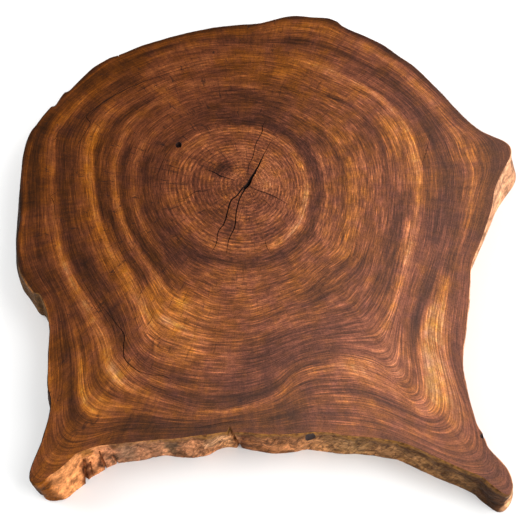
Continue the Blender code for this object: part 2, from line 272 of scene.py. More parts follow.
# The figure's hue, in bands given like the last: below 0 is purple brown and above 0 is golden olive.
HUES = [
    (-0.4, 0, 180, 50, 50, 75), (-0.4, 180, 360, 50, 50, 75), (2.0, 264, 324, 480, 440, 50),
    (1.2, 318, 360, 490, 486, 26), (-0.5, 262, 348, 130, 240, 70), (-0.8, 276, 292, 408, 412, 16),
    (-0.5, 322, 356, 350, 400, 30), (0.3, 200, 268, 88, 92, 16), (0.6, -12, 24, 305, 315, 26),
    (0.7, -25, 28, 480, 490, 30), (-0.5, 30, 44, 462, 462, 14), (0.7, 222, 292, 298, 302, 28),
    (0.8, 168, 228, 450, 470, 50), (0.7, 204, 300, 540, 512, 34), (0.4, 30, 70, 165, 240, 26),
    (0.6, 54, 126, 200, 214, 18), (1.1, 76, 104, 466, 486, 22), (0.6, 116, 140, 460, 436, 12),
    (0.6, 206, 256, 222, 224, 14), (0.9, -4, 42, 268, 274, 20), (0.5, -4, 30, 350, 356, 20),
    (0.4, 190, 222, 250, 270, 40), (0.2, 34, 62, 478, 470, 16), (0.6, 128, 160, 212, 222, 26),
    (0.7, 64, 100, 310, 390, 40), (-1.2, 34, 66, 366, 380, 24), (-0.9, 90, 113, 402, 400, 25),
    (-0.5, 100, 150, 350, 350, 24), (-0.6, 140, 186, 310, 330, 36), (-1.0, 128, 150, 560, 590, 60),
    (-0.4, 318, 345, 326, 334, 26), (-0.4, -12, 104, 150, 150, 10), (-0.5, 100, 130, 486, 500, 12),
]
BAND_TAPER = 7.0

# What shows of the figure's own turns and scars: tone, x, y, half length, half width, degrees anticlockwise.
MARKS = [
    (-0.6, -45, 37, 17, 10, 10), (0.3, 45, 20, 34, 26, 60), (-0.8, 270, -352, 4, 11, 25),
    (0.35, 284, -350, 12, 10, 0), (0.8, -158, -322, 2.5, 16, 5), (0.9, -128, -276, 30, 4, -30),
    (0.55, 322, -408, 42, 28, 62), (-0.5, -150, 76, 13, 9, 30),
]

# The edge's colour round the slab, as the places on the rim where each is strongest: its own colour with
# painted light in it, darkest on the left flank and the right foot's inner wall as painted shade, palest on
# the walls at the right as painted light.
EDGE_TINTS = [
    (-366, -555, "#2e1b0b"), (-346, -386, "#241106"), (-370, -221, "#54381c"), (-403, -184, "#4c3218"),
    (-414, -150, "#382310"), (-419, -117, "#201007"), (-421, 21, "#261308"), (-303, 249, "#5c3822"),
    (22, 355, "#643d25"), (229, 324, "#643d25"), (415, 137, "#8a5d40"), (493, 71, "#d09670"),
    (458, -8, "#d09670"), (428, -107, "#d29870"), (388, -285, "#c48a62"), (390, -433, "#b07a56"),
    (443, -540, "#d6986a"), (449, -573, "#dca272"), (440, -583, "#4a2c18"), (414, -569, "#49301a"),
    (314, -516, "#94693f"), (226, -487, "#926640"), (195, -484, "#a0764a"), (75, -480, "#ae7248"),
    (10, -478, "#9a623c"), (-10, -476, "#704026"), (-30, -477, "#d0925f"), (-55, -479, "#b0744c"),
    (-146, -489, "#c0825a"), (-215, -497, "#a87454"), (-240, -499, "#d08a60"), (-262, -505, "#e0915c"),
    (-288, -516, "#e8975c"), (-324, -548, "#e39358"), (-340, -561, "#854810"), (-355, -566, "#5c340e"),
]

# Scars and stains on the edge: x, y, height, half width, half height, colour and strength. The two darkest,
# at 412, -568 and 330, -524, are painted shade on the right foot's inner wall and under the rim beside it.
EDGE_SCARS = [
    (-279, -520, 26, 9, 36, "#461a10", 0.95), (-272, -508, 86, 10, 16, "#a06424", 0.8),
    (-249, -506, 34, 5, 36, "#4a2416", 0.9), (-231, -500, 26, 9, 28, "#453324", 0.85),
    (-225, -498, 92, 7, 10, "#54301c", 0.8), (-205, -496, 50, 14, 44, "#8c6a50", 0.7),
    (-130, -488, 50, 14, 46, "#524430", 0.8), (-52, -479, 66, 20, 30, "#e2a878", 0.8),
    (412, -568, 55, 20, 60, "#2c190c", 0.8), (-392, -205, 94, 13, 8, "#a0602a", 0.7),
    (330, -524, 74, 52, 14, "#2f1c0d", 0.6),
]

# How far the edge's own colours stray, in millimetres, over what distance, and the seed of that.
TINT_DRIFT = 9.0
TINT_DRIFT_SIZE = 16
TINT_DRIFT_SEED = 1

# The heart's rings are this far apart, and the saw left a line this often on the underside, in millimetres.
RING_SPACING = 6.6
SAW_SPACING = 5.0

# Factors of the wood's colour: purple brown and golden olive, and painted shade at the back left and painted
# sheen at the front right.
PURPLE, OLIVE = (0.98, 0.925, 1.24, 1.0), (1.06, 0.99, 0.38, 1.0)
PAINTED_SHADE_BACK_LEFT, PAINTED_SHEEN_FRONT_RIGHT = (0.515, 0.452, 0.25, 1.0), (0.92, 0.925, 1.0, 1.0)

# Edges of the mesh that turn by more degrees than this stay sharp.
SHARP_ANGLE = 38

# What the camera looks at, from the pith, and half the floor's width in metres.
CAMERA_TARGET = (32.13, -159.67)
FLOOR_HALF = 9.0

# How rough the edge is round the slab: places on the rim, the depth of its relief in millimetres, and how
# much of the line of bark is left.
EDGE_RELIEF = [
    (-346, -386, 1.2, 0.0), (-421, 21, 1.2, 0.0), (22, 355, 1.4, 0.2), (391, 167, 1.2, 0.0),
    (493, 71, 0.8, 0.0), (388, -285, 1.0, 0.0), (443, -540, 1.6, 0.1), (384, -548, 2.4, 0.8),
    (195, -484, 3.2, 1.0), (-40, -477, 3.8, 1.0), (-180, -493, 4.0, 0.6), (-283, -512, 4.6, 0.3),
    (-327, -550, 3.2, 0.1), (-366, -555, 1.8, 0.0),
]

WALL, UPPER, UNDER, CHECK = "live_edge", "oiled_end_grain", "sawn_end_grain", "check_wood"
SURFACES = (UPPER, WALL, UNDER, CHECK)

# Settings of the nodes that mix two colours and that multiply them.
MIXED = {"out": 2, "data_type": "RGBA"}
MULTIPLIED = {**MIXED, "blend_type": "MULTIPLY"}


def linear(code, alpha=1.0):
    """An sRGB hex colour as the linear RGBA that Blender's sockets take."""
    parts = (int(code[k:k + 2], 16) / 255 for k in (1, 3, 5))
    return tuple(c / 12.92 if c <= 0.04045 else ((c + 0.055) / 1.055) ** 2.4 for c in parts) + (alpha,)


def smooth_line(points, steps, closed):
    """Points read along a smooth line through the given ones, with an even count between each two."""
    given = np.array(points, float)
    count = len(given)
    spans = count if closed else count - 1
    wrap = (lambda k: k % count) if closed else (lambda k: min(max(k, 0), count - 1))
    share = (np.arange(steps) / steps)[:, None]
    runs = []
    for k in range(spans):
        a, b, c, d = (given[wrap(k + offset)] for offset in (-1, 0, 1, 2))
        runs.append(0.5 * (2 * b + (c - a) * share + (2 * a - 5 * b + 4 * c - d) * share**2
                           + (3 * b - a - 3 * c + d) * share**3))
    if not closed:
        runs.append(given[-1:])
    return np.concatenate(runs)


RIM_FINE = smooth_line(RIM, 20, True)
RIM_LENGTH = np.concatenate(
    ([0.0], np.cumsum(np.linalg.norm(np.roll(RIM_FINE, -1, 0)[:, :2] - RIM_FINE[:, :2], axis=1))))


def even_rim(count):
    """The rim's x, y and flare at places an equal length apart."""
    wanted = RIM_LENGTH[-1] * np.arange(count) / count
    around = np.vstack((RIM_FINE, RIM_FINE[:1]))
    return np.column_stack([np.interp(wanted, RIM_LENGTH, around[:, axis]) for axis in range(3)])


def way_round(x, y):
    """How far round the rim the nearest place on it is, from 0 to 1."""
    x, y = np.atleast_1d(x), np.atleast_1d(y)
    nearest = np.empty(len(x), int)
    batch = 4096
    for start in range(0, len(x), batch):
        part = slice(start, start + batch)
        apart = (x[part, None] - RIM_FINE[None, :, 0])**2 + (y[part, None] - RIM_FINE[None, :, 1])**2
        nearest[part] = apart.argmin(1)
    return RIM_LENGTH[nearest] / RIM_LENGTH[-1]


def round_the_rim(stations, way):
    """Values given at places on the rim, read at fractions of the way round."""
    table = np.array([station[2:] for station in stations], float)
    at = way_round(np.array([s[0] for s in stations], float), np.array([s[1] for s in stations], float))
    order = at.argsort()
    return np.column_stack([
        np.interp(way, at[order], table[order, k], period=1.0) for k in range(table.shape[1])])


def bearings(x, y):
    return np.degrees(np.arctan2(x, y)) % 360


def line_radius(stations, bearing):
    """A growth line's distance from the pith at each bearing."""
    turned = [(b - 360, r) for b, r in stations[-3:]] + stations + [(b + 360, r) for b, r in stations[:3]]
    fine = smooth_line(turned, 8, False)
    order = fine[:, 0].argsort()
    return np.interp(bearing, fine[order, 0], fine[order, 1])


def shortfall(places, bearing):
    return sum(depth * np.exp(-(((bearing - at + 180) % 360 - 180) / half)**2) for at, half, depth in places)


def spread_out(values, half, how):
    """The greatest or the mean of values given every half degree, over so many degrees either way."""
    reach = int(2 * half)
    return how([np.roll(values, k) for k in range(-reach, reach + 1)], axis=0)


def growth(x, y, height):
    """The growth line that each place lies on, at its height above the underside."""
    turn = np.arange(0.0, 360.0, 0.5)
    heart, middle, outer = (line_radius(line, turn) for line in (HEART_LINE, MIDDLE_LINE, OUTER_LINE))
    inner = (heart + middle) / 2 - shortfall(ROUNDER_INSIDE, turn)
    at = bearings(RIM_FINE[:, 0], RIM_FINE[:, 1])
    order = at.argsort()
    found = []
    for flare in (0.0, 1.0):
        reach = np.hypot(RIM_FINE[:, 0], RIM_FINE[:, 1]) + flare * RIM_FINE[:, 2]
        rim = np.interp(turn, at[order], reach[order], period=360)
        rim = spread_out(spread_out(rim, BLUNT_TIP, np.max), BLUNT_RIM, np.mean)
        last = spread_out((outer + rim) / 2, BLUNT_OUTER, np.mean) - shortfall(ROUNDER_OUTSIDE, turn)
        last = np.maximum(last, outer + 8)
        radii = (np.zeros_like(heart), heart, inner, middle, outer, last, np.maximum(rim, last + 8))
        bearing, across = bearings(x, y), np.hypot(x, y)
        radii = [np.interp(bearing, turn, radius, period=360) for radius in radii]
        line = np.zeros_like(across)
        for number, (low, high) in enumerate(zip(LEVELS, LEVELS[1:])):
            share = (across - radii[number]) / (radii[number + 1] - radii[number])
            line += (high - low) * np.clip(share, 0, 1 if high < LEVELS[-1] else 2)
        found.append(line)
    lower = (1 - np.clip(height / THICKNESS, 0, 1))**FLARE_POWER
    return found[0] + (found[1] - found[0]) * lower


def banded(bands, x, y, line):
    """The sum at each place of bands that follow the growth lines."""
    bearing = bearings(x, y)
    tone = np.zeros_like(line)
    for strength, first, last, line_first, line_last, half_width in bands:
        along = (bearing - first + 90) % 360 - 90
        ends = (np.clip(along / BAND_TAPER + 0.5, 0, 1)
                * np.clip((last - first - along) / BAND_TAPER + 0.5, 0, 1))
        middle = line_first + (line_last - line_first) * np.clip(along / (last - first), 0, 1)
        across = np.abs(line - middle) / half_width
        tone += strength * ends * ends * (3 - 2 * ends) / (1 + across**4)
    return tone


def figure_tone(x, y, line):
    """The figure's tone at each place, from its bands and its marks."""
    tone = banded(BANDS, x, y, line)
    for strength, at_x, at_y, half_length, half_width, turn in MARKS:
        c, s = math.cos(math.radians(turn)), math.sin(math.radians(turn))
        u = ((x - at_x) * c + (y - at_y) * s) / half_length
        v = (-(x - at_x) * s + (y - at_y) * c) / half_width
        tone += strength * np.exp(-u**2 - v**2)
    return np.tanh(1.1 * tone)


def to_frame(x, y, z):
    """A place measured from the pith, in the slab's own frame and in metres."""
    return Vector((x + PITH[0], y + PITH[1], z)) * MM


def outward(line, reach=2):
    """The outward directions in plan along a line that runs clockwise."""
    along = np.roll(line[:, :2], -reach, 0) - np.roll(line[:, :2], reach, 0)
    along /= np.linalg.norm(along, axis=1)[:, None]
    return np.column_stack((-along[:, 1], along[:, 0]))


def flutes(way, height):
    """The shallow upright waves of the tree's surface, none at the two sawn faces."""
    turn = 2 * math.pi * way
    lean = 2.4 * height / THICKNESS
    waves = (np.sin(41 * turn + lean) + 0.7 * np.sin(67 * turn - 1.3 * lean + 1.1)
             + 0.5 * np.sin(23 * turn + 0.6 * lean + 2.3))
    return FLUTE_DEPTH * waves * math.sin(math.pi * min(max(height / THICKNESS, 0.0), 1.0))**0.6


def edge_relief(x, y, height, depth):
    """How far the live edge's scallops and furrows stand back from its fluted surface, in millimetres."""
    lumps = noise.fractal(Vector((x / 30, y / 30, height / 52)), 0.9, 2.1, 4)
    furrow = noise.noise(Vector((x / 6.5, y / 6.5, height / 55 + 7)))
    lean = x - 0.4 * height
    scallop = noise.voronoi(Vector((lean / 21, y / 21, height / 40)))[0][0]
    back = 0.85 - 0.55 * lumps + 1.2 * max(furrow - 0.18, 0.0) - 0.95 * scallop
    return -depth * back


class SlabSizes(bpy.types.PropertyGroup):
    """The sizes of the slab's modelled surface."""

    rim_steps: IntProperty(
        name="Rim steps", description="Points along the rim", default=1100, min=60)
    row_height: FloatProperty(
        name="Row height", description="Height of one row of faces on the live edge", default=3.4 * MM,
        unit="LENGTH")
    face_step: FloatProperty(
        name="Face step", description="Width of one square of the upper face", default=5 * MM, unit="LENGTH")
    under_step: FloatProperty(
        name="Underside step", description="Width of one square of the underside", default=12 * MM,
        unit="LENGTH")
    rim_ease: FloatProperty(
        name="Rim ease", description="How far the upper arris is rounded back", default=1.6 * MM,
        unit="LENGTH")
    foot_ease: FloatProperty(
        name="Foot ease", description="How far the lower arris is rounded back", default=1.2 * MM,
        unit="LENGTH")


class SlabFinish(bpy.types.PropertyGroup):
    """The colours of the slab's oiled and raw wood, and of its painted sheen and shade."""

    deep: StringProperty(name="Deep", description="The darkest growth lines", default="#2f1a12")
    umber: StringProperty(name="Umber", description="The dark bands", default="#532e1c")
    brown: StringProperty(name="Brown", description="The ground between the bands", default="#7b4628")
    orange: StringProperty(name="Orange", description="The pale bands", default="#a96739")
    gold: StringProperty(name="Gold", description="The palest wood", default="#d8a26a")
    pore: StringProperty(name="Pore", description="Pores and hairline checks", default="#241510")
    # The inside colour is painted shade: the dark of a check's depths, also drawn along the edge's furrows.
    inside: StringProperty(name="Inside", description="The raw wood inside a check", default="#38190f")
    # The pale colour of the painted sheen laid over the front right of the sawn faces.
    painted_sheen_colour: StringProperty(name="Haze", description="The pale bloom on the right", default="#a07868")
    bark: StringProperty(
        name="Bark line", description="What is left of the bark under the rim", default="#9c6a2e")
    # The stain colour also paints the shadow under the rim's overhang.
    stain: StringProperty(name="Stain", description="Weather stains on the edge", default="#341c0d")
    gloss: FloatProperty(
        name="Roughness", description="Roughness of the oiled face", default=0.42, min=0.0, max=1.0)


class StageSettings(bpy.types.PropertyGroup):
    """The camera and lights."""

    elevation: FloatProperty(
        name="Elevation", description="The camera's angle above the floor", default=math.radians(66),
        subtype="ANGLE")
    distance: FloatProperty(
        name="Distance", description="From the camera to the slab's upper face", default=2.52, unit="LENGTH")
    lens: FloatProperty(
        name="Lens", description="Focal length on a 36 mm sensor", default=95.1, unit="CAMERA")
    key: FloatProperty(name="Key", description="Power of the key light", default=62.0, unit="POWER")
    fill: FloatProperty(name="Fill", description="Power of the light on the left", default=80.0, unit="POWER")
    sheen: FloatProperty(
        name="Sheen", description="Power of the light that the face reflects", default=26.0, unit="POWER")
    sky: FloatProperty(name="Sky", description="Strength of the even light all round", default=0.78)


def fill(tree, node, sockets):
    """Fills a node's sockets, by name or in order, with values or links."""
    for socket, value in sockets.items() if isinstance(sockets, dict) else enumerate(sockets):
        if isinstance(value, bpy.types.NodeSocket):
            tree.links.new(value, node.inputs[socket])
        else:
            node.inputs[socket].default_value = value


def add_node(tree, kind, sockets=(), operation=None, out=0, stops=None, **settings):
    """Adds a node, sets it up, fills its sockets, and returns one of its outputs."""
    node = tree.nodes.new("ShaderNode" + kind)
    if operation:
        node.operation = operation
    for name, value in settings.items():
        setattr(node, name, value)
    if stops:
        ramp = node.color_ramp
        while len(ramp.elements) < len(stops):
            ramp.elements.new(0.5)
        for element, (position, colour) in zip(ramp.elements, stops):
            element.position, element.color = position, colour
    fill(tree, node, sockets)
    return node.outputs[out]


def new_material(name):
    """An empty material, what adds a node to it, and what fills the sockets of its Principled shader."""
    material = bpy.data.materials.new(name)
    material.use_nodes = True
    tree = material.node_tree
    return material, partial(add_node, tree), partial(fill, tree, tree.nodes["Principled BSDF"])


def from_pith(add):
    """Object coordinates in millimetres, measured from the pith."""
    place = add("TexCoord", out=3)
    return add("Mapping",
               {"Vector": place, "Location": (-PITH[0], -PITH[1], 0.0), "Scale": (1 / MM, 1 / MM, 1 / MM)})


def unrolled_wood(add, place):
    """The growth line at a place, and the wood unrolled: that line, then the bearing as a 100 mm circle."""
    flat = add("VectorMath", (place, (1.0, 1.0, 0.0)), "MULTIPLY")
    turned = add("VectorMath", (flat,), "NORMALIZE")
    turned_x = add("SeparateXYZ", (turned,), out=0)
    turned_y = add("SeparateXYZ", (turned,), out=1)
    line = add("Attribute", out=2, attribute_name="growth")
    circle_x = add("Math", (turned_x, 100.0), "MULTIPLY")
    circle_y = add("Math", (turned_y, 100.0), "MULTIPLY")
    unrolled = add("CombineXYZ", (line, circle_x, circle_y))
    return line, unrolled


def lines_along(add, unrolled, across, along, detail, rough=0.6):
    """Streaks that follow the growth lines, as wide and as long as given in millimetres, centred on 0."""
    scaled = add("VectorMath", (unrolled, (1 / across, 1 / along, 1 / along)), "MULTIPLY")
    streak = add("TexNoise", {"Vector": scaled, "Scale": 1.0, "Detail": detail, "Roughness": rough})
    return add("Math", (streak, 0.5), "SUBTRACT")


def end_grain(name, finish, fade, saw, roughness):
    """End grain: growth lines, pale and dark bands, fine rays, pores and hairline checks, with painted shade
    at the back left and painted sheen at the front right.
    """
    material, add, finish_with = new_material(name)
    place = from_pith(add)
    line, unrolled = unrolled_wood(add, place)
    tone = add("Attribute", out=2, attribute_name="figure")
    # How far to the front right a place is, from 0 to 1 across the slab.
    side = add("VectorMath", (place, (0.86 / 430, -0.48 / 430, 0.0)), "DOT_PRODUCT", out=1)
    side = add("MapRange", (side, -1.0, 1.0, 0.0, 1.0), interpolation_type="SMOOTHSTEP")
    # Growth lines 3 to 26 mm wide, which last for 12 to 35 degrees round the pith.
    slow = lines_along(add, unrolled, 26.0, 60.0, 3.0)
    mid = lines_along(add, unrolled, 8.0, 34.0, 3.0)
    fine = lines_along(add, unrolled, 3.4, 22.0, 3.0, 0.7)
    # The heart's rings, which the growth lines bend a little.
    heart = add("MapRange", (line, 126.0, 138.0, 1.0, 0.0))
    wander = add("Math", (mid, 2.0, line), "MULTIPLY_ADD")
    ring = add("Math", (wander, 2 * math.pi / RING_SPACING), "MULTIPLY")
    ring = add("Math", (ring,), "SINE")
    ring = add("Math", (ring, heart), "MULTIPLY")
    total = add("Math", (tone, fade * 0.33, 0.455), "MULTIPLY_ADD")
    calm = add("MapRange", (line, 120.0, 150.0, 0.45, 1.0))
    mid_calm = add("Math", (mid, calm), "MULTIPLY")
    # Rays, pale and dark by turns, stand out across the growth lines of the outer wood.
    rays = lines_along(add, unrolled, 60.0, 1.6, 2.0)
    outer = add("MapRange", (line, 180.0, 380.0, 0.25, 1.0))
    rays = add("Math", (rays, outer), "MULTIPLY")
    # All of it fades at the tips of the roots.
    ends = add("MapRange", (line, 480.0, 550.0, fade, 0.3 * fade))
    for part, weight in ((slow, 0.26), (mid_calm, 0.22), (fine, 0.22), (ring, 0.07), (rays, 0.27)):
        weight = add("Math", (ends, weight), "MULTIPLY")
        total = add("Math", (part, weight, total), "MULTIPLY_ADD")
    # Blotches of darker and lighter wood, from 50 mm down to 1 mm across.
    cloud = add("TexNoise", {"Vector": place, "Scale": 1 / 50, "Detail": 6.0, "Roughness": 0.7})
    cloud = add("Math", (cloud, 0.5), "SUBTRACT")
    total = add("Math", (cloud, 0.53, total), "MULTIPLY_ADD")
    colour = add("ValToRGB", (total,), stops=[
        (0.06, linear(finish.deep)), (0.27, linear(finish.umber)), (0.48, linear(finish.brown)),
        (0.68, linear(finish.orange)), (0.95, linear(finish.gold))])
    # The sharpest lines: thin dark ones where growth paused, and the pale and dark of single years.
    pause = lines_along(add, unrolled, 5.0, 60.0, 2.0)
    pause = add("Math", (pause,), "ABSOLUTE")
    softer = add("MapRange", (side, 0.3, 0.8, 0.66, 0.82))
    pause = add("MapRange", (pause, 0.0, 0.022, softer, 1.0))
    years = lines_along(add, unrolled, 2.0, 10.0, 2.0, 0.7)
    years = add("Math", (fine, 0.7, years), "MULTIPLY_ADD")
    keen = add("MapRange", (side, 0.2, 0.9, 2.3, 3.8))
    keen = add("Math", (keen, ends), "MULTIPLY")
    years = add("Math", (years, keen), "MULTIPLY")
    years = add("Math", (years,), "EXPONENT")
    for part in (pause, years):
        colour = add("Mix", {0: fade, 6: colour, 7: part}, **MULTIPLIED)
    # Purple and golden olive, by the figure's own hue and in patches 27 mm and less across.
    hue = add("Attribute", out=2, attribute_name="hue")
    patches = add("TexNoise", {"Vector": place, "Scale": 1 / 27, "Detail": 4.0, "Roughness": 0.6})
    patches = add("MapRange", (patches, 0.3, 0.7, -0.1, 0.85), clamp=False)
    hue = add("Math", (hue, 0.62, patches), "MULTIPLY_ADD", use_clamp=True)
    hue = add("Mix", {0: hue, 6: PURPLE, 7: OLIVE}, **MIXED)
    # Painted light: the back left is darkened and yellowed as painted shade, and the front right is paled and
    # pinked as painted sheen.
    painted_light_cast = add("Mix", {0: side, 6: PAINTED_SHADE_BACK_LEFT, 7: PAINTED_SHEEN_FRONT_RIGHT}, **MIXED)
    for part in (hue, painted_light_cast):
        colour = add("Mix", {0: 1.0, 6: colour, 7: part}, **MULTIPLIED)
    # Painted sheen: a pale veil laid over the front right, strongest at the far front right.
    painted_sheen = add("Math", (side, 3.0), "POWER")
    painted_sheen = add("Math", (painted_sheen, 0.16), "MULTIPLY")
    colour = add("Mix", {0: painted_sheen, 6: colour, 7: linear(finish.painted_sheen_colour)}, **MIXED)
    # Pores: sapele's are under 0.2 mm across, drawn 2 mm and less across so that they show.
    grain = add("TexNoise", {"Vector": place, "Scale": 1 / 1.9, "Detail": 3.0, "Roughness": 0.75})
    grain = add("MapRange", (grain, 0.3, 0.7, 0.62, 1.38))
    colour = add("Mix", {0: 1.0, 6: colour, 7: grain}, **MULTIPLIED)
    # Hairline checks run along the rays, and jog aside where they step from one growth line to the next.
    step = add("Math", (line, 11.0), "SNAP")
    jog = add("TexWhiteNoise", {"W": step}, noise_dimensions="1D")
    jog = add("MapRange", {0: jog, 3: -0.006, 4: 0.006})
    aside = add("VectorMath", (unrolled, (1.0, 0.0, 0.0)), "CROSS_PRODUCT")
    jogged = add("VectorMath", (aside, jog, unrolled), "MULTIPLY_ADD")
    hair = lines_along(add, jogged, 90.0, 3.8, 1.0)
    hair = add("Math", (hair,), "ABSOLUTE")
    hair = add("Math", (hair, line), "MULTIPLY")
    hair = add("MapRange", (hair, 1.0, 5.0, 1.0, 0.0))
    patch = lines_along(add, unrolled, 30.0, 4.0, 1.0)
    patch = add("MapRange", (patch, 0.01, 0.09, 0.0, 0.8))
    fewer = add("MapRange", (side, 0.3, 0.8, 1.0, 0.25))
    hair = add("Math", (hair, patch), "MULTIPLY")
    hair = add("Math", (hair, fewer), "MULTIPLY")
    colour = add("Mix", {0: hair, 6: colour, 7: linear(finish.pore)}, **MIXED)
    height = add("Math", (fine, 0.6, grain), "MULTIPLY_ADD")
    if saw:
        # Bandsaw marks: shallow lines across the underside.
        marks = add("TexWave", {
            "Vector": place, "Scale": 2 * math.pi / (20 * SAW_SPACING), "Distortion": 1.5, "Detail": 1.0},
            out=1, bands_direction="X")
        height = add("Math", (marks, saw, height), "MULTIPLY_ADD")
    bump = add("Bump", {"Strength": 0.25, "Distance": 0.3 * MM, "Height": height})
    satin = add("MapRange", (fine, -0.3, 0.3, roughness + 0.07, roughness - 0.05))
    finish_with({"Base Color": colour, "Roughness": satin, "Specular IOR Level": 0.06, "Normal": bump})
    return material


def live_edge(name, finish):
    """Live edge: the peeled outside of the trunk, with leaning fibres, chipped, weathered and stained, with
    painted shade in its hollows and furrows and painted shadow under the rim.
    """
    material, add, finish_with = new_material(name)
    place = from_pith(add)
    tint = add("Attribute", out=0, attribute_name="edge_tint")
    bark = add("Attribute", out=2, attribute_name="bark_left")
    # Fibres 3.4 mm wide and 46 mm long, and furrows 13 mm wide and 60 mm long.
    fibres = add("Mapping",
                 {"Vector": place, "Rotation": (0.0, math.radians(22), 0.0), "Scale": (3.4, 3.4, 46.0)},
                 vector_type="TEXTURE")
    fibres = add("TexNoise", {"Vector": fibres, "Scale": 1.0, "Detail": 4.0, "Roughness": 0.65})
    furrow = add("Mapping",
                 {"Vector": place, "Rotation": (0.0, math.radians(16), 0.0), "Scale": (13.0, 13.0, 60.0)},
                 vector_type="TEXTURE")
    furrow = add("TexNoise", {"Vector": furrow, "Scale": 1.0, "Detail": 3.0})
    furrow = add("Math", (furrow, 0.5), "SUBTRACT")
    furrow = add("Math", (furrow,), "ABSOLUTE")
    furrow = add("MapRange", (furrow, 0.0, 0.035, 0.7, 0.0))
    # Hollows 26 mm across and chips 8 mm across, and stains where bark was left.
    mottle = add("TexNoise", {"Vector": place, "Scale": 1 / 26, "Detail": 4.0, "Roughness": 0.6})
    lumps = add("TexNoise", {"Vector": place, "Scale": 1 / 8, "Detail": 2.0})
    colour = tint
    # Painted shade over the edge's own mottling: the colour darkens where the fibres, hollows and chips lie
    # low in the relief.
    for spread in (
            (fibres, 0.28, 0.72, 0.74, 1.26), (mottle, 0.34, 0.66, 0.5, 1.6),
            (lumps, 0.35, 0.65, 0.68, 1.32)):
        part = add("MapRange", spread)
        colour = add("Mix", {0: 1.0, 6: colour, 7: part}, **MULTIPLIED)
    stain = add("TexNoise", {"Vector": place, "Scale": 1 / 30, "Detail": 4.0, "Roughness": 0.55})
    stained = add("MapRange", (stain, 0.50, 0.64, 0.0, 0.6))
    more = add("Math", (bark, 0.85, 0.15), "MULTIPLY_ADD")
    stained = add("Math", (stained, more), "MULTIPLY")
    furrow = add("Math", (furrow, more), "MULTIPLY")
    # A lumpy line of bark is left under the rim, and below it a dark band of painted shadow, as under the
    # rim's overhang.
    height = add("SeparateXYZ", (place,), out=2)
    under = add("Math", (THICKNESS, height), "SUBTRACT")
    under = add("Math", (lumps, 16.0, under), "MULTIPLY_ADD")
    strip = add("MapRange", (under, 18.0, 28.0, 0.65, 0.0))
    below = add("MapRange", (under, 26.0, 46.0, 0.6, 0.0))
    broken = add("MapRange", (lumps, 0.42, 0.56, 0.25, 1.0))
    strip = add("Math", (strip, broken), "MULTIPLY")
    strip = add("Math", (strip, bark), "MULTIPLY")
    below = add("Math", (below, bark), "MULTIPLY")
    # Real stains, the painted shadow under the rim, painted shade in the furrows, and the bark strip.
    for part, code in (
            (stained, finish.stain), (below, finish.stain), (furrow, finish.inside), (strip, finish.bark)):
        colour = add("Mix", {0: part, 6: colour, 7: linear(code)}, **MIXED)
    relief = add("Math", (lumps, 0.7, mottle), "MULTIPLY_ADD")
    relief = add("Math", (relief, 2.0, fibres), "MULTIPLY_ADD")
    bump = add("Bump", {"Strength": 0.9, "Distance": 2.2 * MM, "Height": relief})
    finish_with({"Base Color": colour, "Roughness": 0.62, "Specular IOR Level": 0.03, "Normal": bump})
    return material


def check_wood(name, finish):
    """Raw wood inside the checks, pockets and hairlines: unoiled, so it hardly shines, and painted dark as
    the shade deep inside them.
    """
    material, add, finish_with = new_material(name)
    place = from_pith(add)
    painted_shade_mottle = add("TexNoise", {"Vector": place, "Scale": 1 / 5, "Detail": 3.0})
    colour = add("ValToRGB", (painted_shade_mottle,), stops=[(0.35, linear(finish.pore)), (0.7, linear(finish.inside))])
    finish_with({"Base Color": colour, "Roughness": 0.85})
    return material


def ring_edges(bm, ring):
    """The edges that join each vert of a closed ring to the next."""
    return [bm.edges.get((ring[k], ring[(k + 1) % len(ring)])) for k in range(len(ring))]


def made_of(kind, geometry):
    return [part for part in geometry if isinstance(part, kind)]


def mesh_object(name, bm, collection):
    mesh = bpy.data.meshes.new(name)
    bm.to_mesh(mesh)
    bm.free()
    made = bpy.data.objects.new(name, mesh)
    collection.objects.link(made)
    return made


def blade(name, depth, stations, face_height, into, collection):
    """A blade with a V section along one check, deepest at its middle, cutting in from a sawn face."""
    fine = smooth_line(stations, 4, False)
    last = len(fine) - 1
    bm = bmesh.new()
    ring = list(bmesh.ops.create_circle(bm, segments=3, radius=MM, cap_ends=True)["verts"])
    for k in range(last + 1):
        if k:
            grown = bmesh.ops.extrude_edge_only(bm, edges=ring_edges(bm, ring))["geom"]
            fresh = made_of(bmesh.types.BMVert, grown)
            ring = sorted(fresh, key=lambda v: min(range(3), key=lambda n: (v.co - ring[n].co).length))
        before, after = fine[max(k - 1, 0)], fine[min(k + 1, last)]
        along = Vector(after[:2] - before[:2]).normalized()
        x, y, width = fine[k]
        x += 0.7 * noise.noise(Vector((x / 9, y / 9, 3.0)))
        y += 0.7 * noise.noise(Vector((x / 9, y / 9, 8.0)))
        side = Vector((-along.y, along.x)) * max(width, 0.5) / 2
        reach = depth * (0.25 + 0.75 * math.sin(math.pi * (k + 0.5) / (last + 1)))
        ring[0].co = to_frame(x + side.x, y + side.y, face_height - into * CHECK_LIP)
        ring[1].co = to_frame(x - side.x, y - side.y, face_height - into * CHECK_LIP)
        ring[2].co = to_frame(x, y, face_height + into * reach)
    bmesh.ops.contextual_create(bm, geom=ring_edges(bm, ring))
    bmesh.ops.recalc_face_normals(bm, faces=bm.faces)
    return mesh_object(name, bm, collection)


def pocket(name, x, y, radius, height, stretch, collection):
    bm = bmesh.new()
    bmesh.ops.create_icosphere(bm, subdivisions=3, radius=radius * MM)
    for vert in bm.verts:
        vert.co *= 1 + 0.22 * noise.noise(vert.co * 260)
        vert.co.z *= stretch
    bmesh.ops.translate(bm, verts=bm.verts, vec=to_frame(x, y, height))
    return mesh_object(name, bm, collection)


